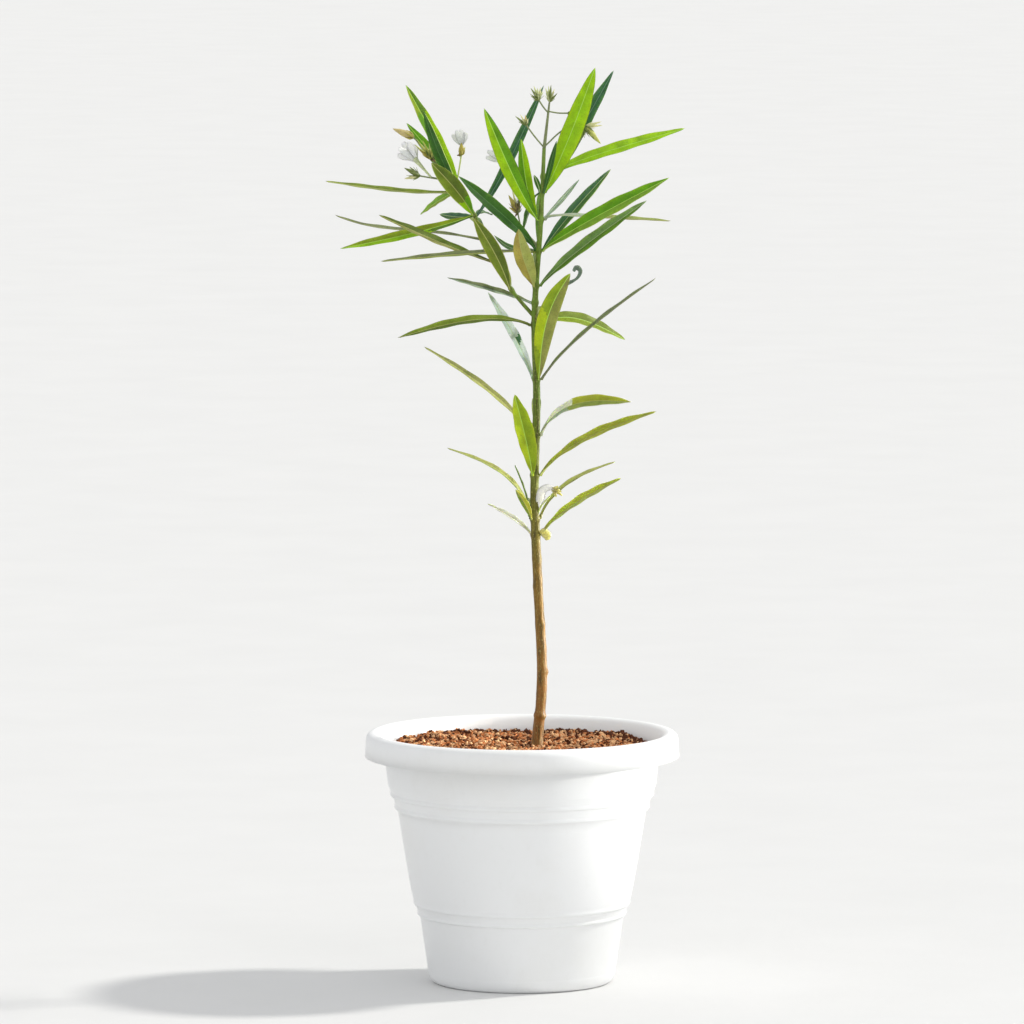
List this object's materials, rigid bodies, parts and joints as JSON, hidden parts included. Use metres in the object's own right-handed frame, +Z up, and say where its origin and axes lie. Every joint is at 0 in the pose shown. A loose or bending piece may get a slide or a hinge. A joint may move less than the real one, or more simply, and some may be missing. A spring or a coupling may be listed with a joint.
{
  "type": "potted oleander plant",
  "caption": "Young oleander with one thin stem, a side shoot, whorls of long narrow leaves and heads of buds, in a white plastic pot with a rolled rim.",
  "frame": {"origin": "centre of the pot's flat underside, where it stands", "axes": "+Z up along the pot's axis, -Y towards the front from which the plant was pictured, +X to the right as seen from the front"},
  "size_m": [0.3423, 0.3, 0.876],
  "materials": {
    "pot_plastic": "white moulded plastic with a soft sheen",
    "coir": "loose dry coir crumbs, orange-brown",
    "bark": "young bark, brown below and olive-green above",
    "leaf_olive": "leathery leaf, olive",
    "leaf_lime": "leathery leaf, lime green with a pale midrib",
    "leaf_green": "leathery leaf, mid green with a pale midrib",
    "bud": "soft buds and petals, cream and olive"
  },
  "bodies": {
    "root": {"pot": "pot_plastic", "coir_fill": "coir", "stem": "bark", "left_shoot": "bark", "leaf_whorl_01": "leaf_olive", "leaf_whorl_02": "leaf_olive", "leaf_whorl_03": "leaf_lime", "leaf_whorl_04": "leaf_lime", "leaf_whorl_05": "leaf_lime", "leaf_whorl_06": "leaf_olive", "leaf_whorl_07": "leaf_olive", "leaf_whorl_08": "leaf_olive", "leaf_whorl_09": "leaf_green", "leaf_whorl_10": "leaf_green", "leaf_whorl_11": "leaf_lime", "leaf_whorl_12": "leaf_lime", "shoot_whorl_1": "leaf_olive", "shoot_whorl_2": "leaf_olive", "shoot_whorl_3": "leaf_olive", "shoot_whorl_4": "leaf_green", "shoot_whorl_5": "leaf_green", "top_flower_head": "bud", "shoot_flower_head": "bud", "middle_flower_head": "bud"}
  },
  "joints": []
}
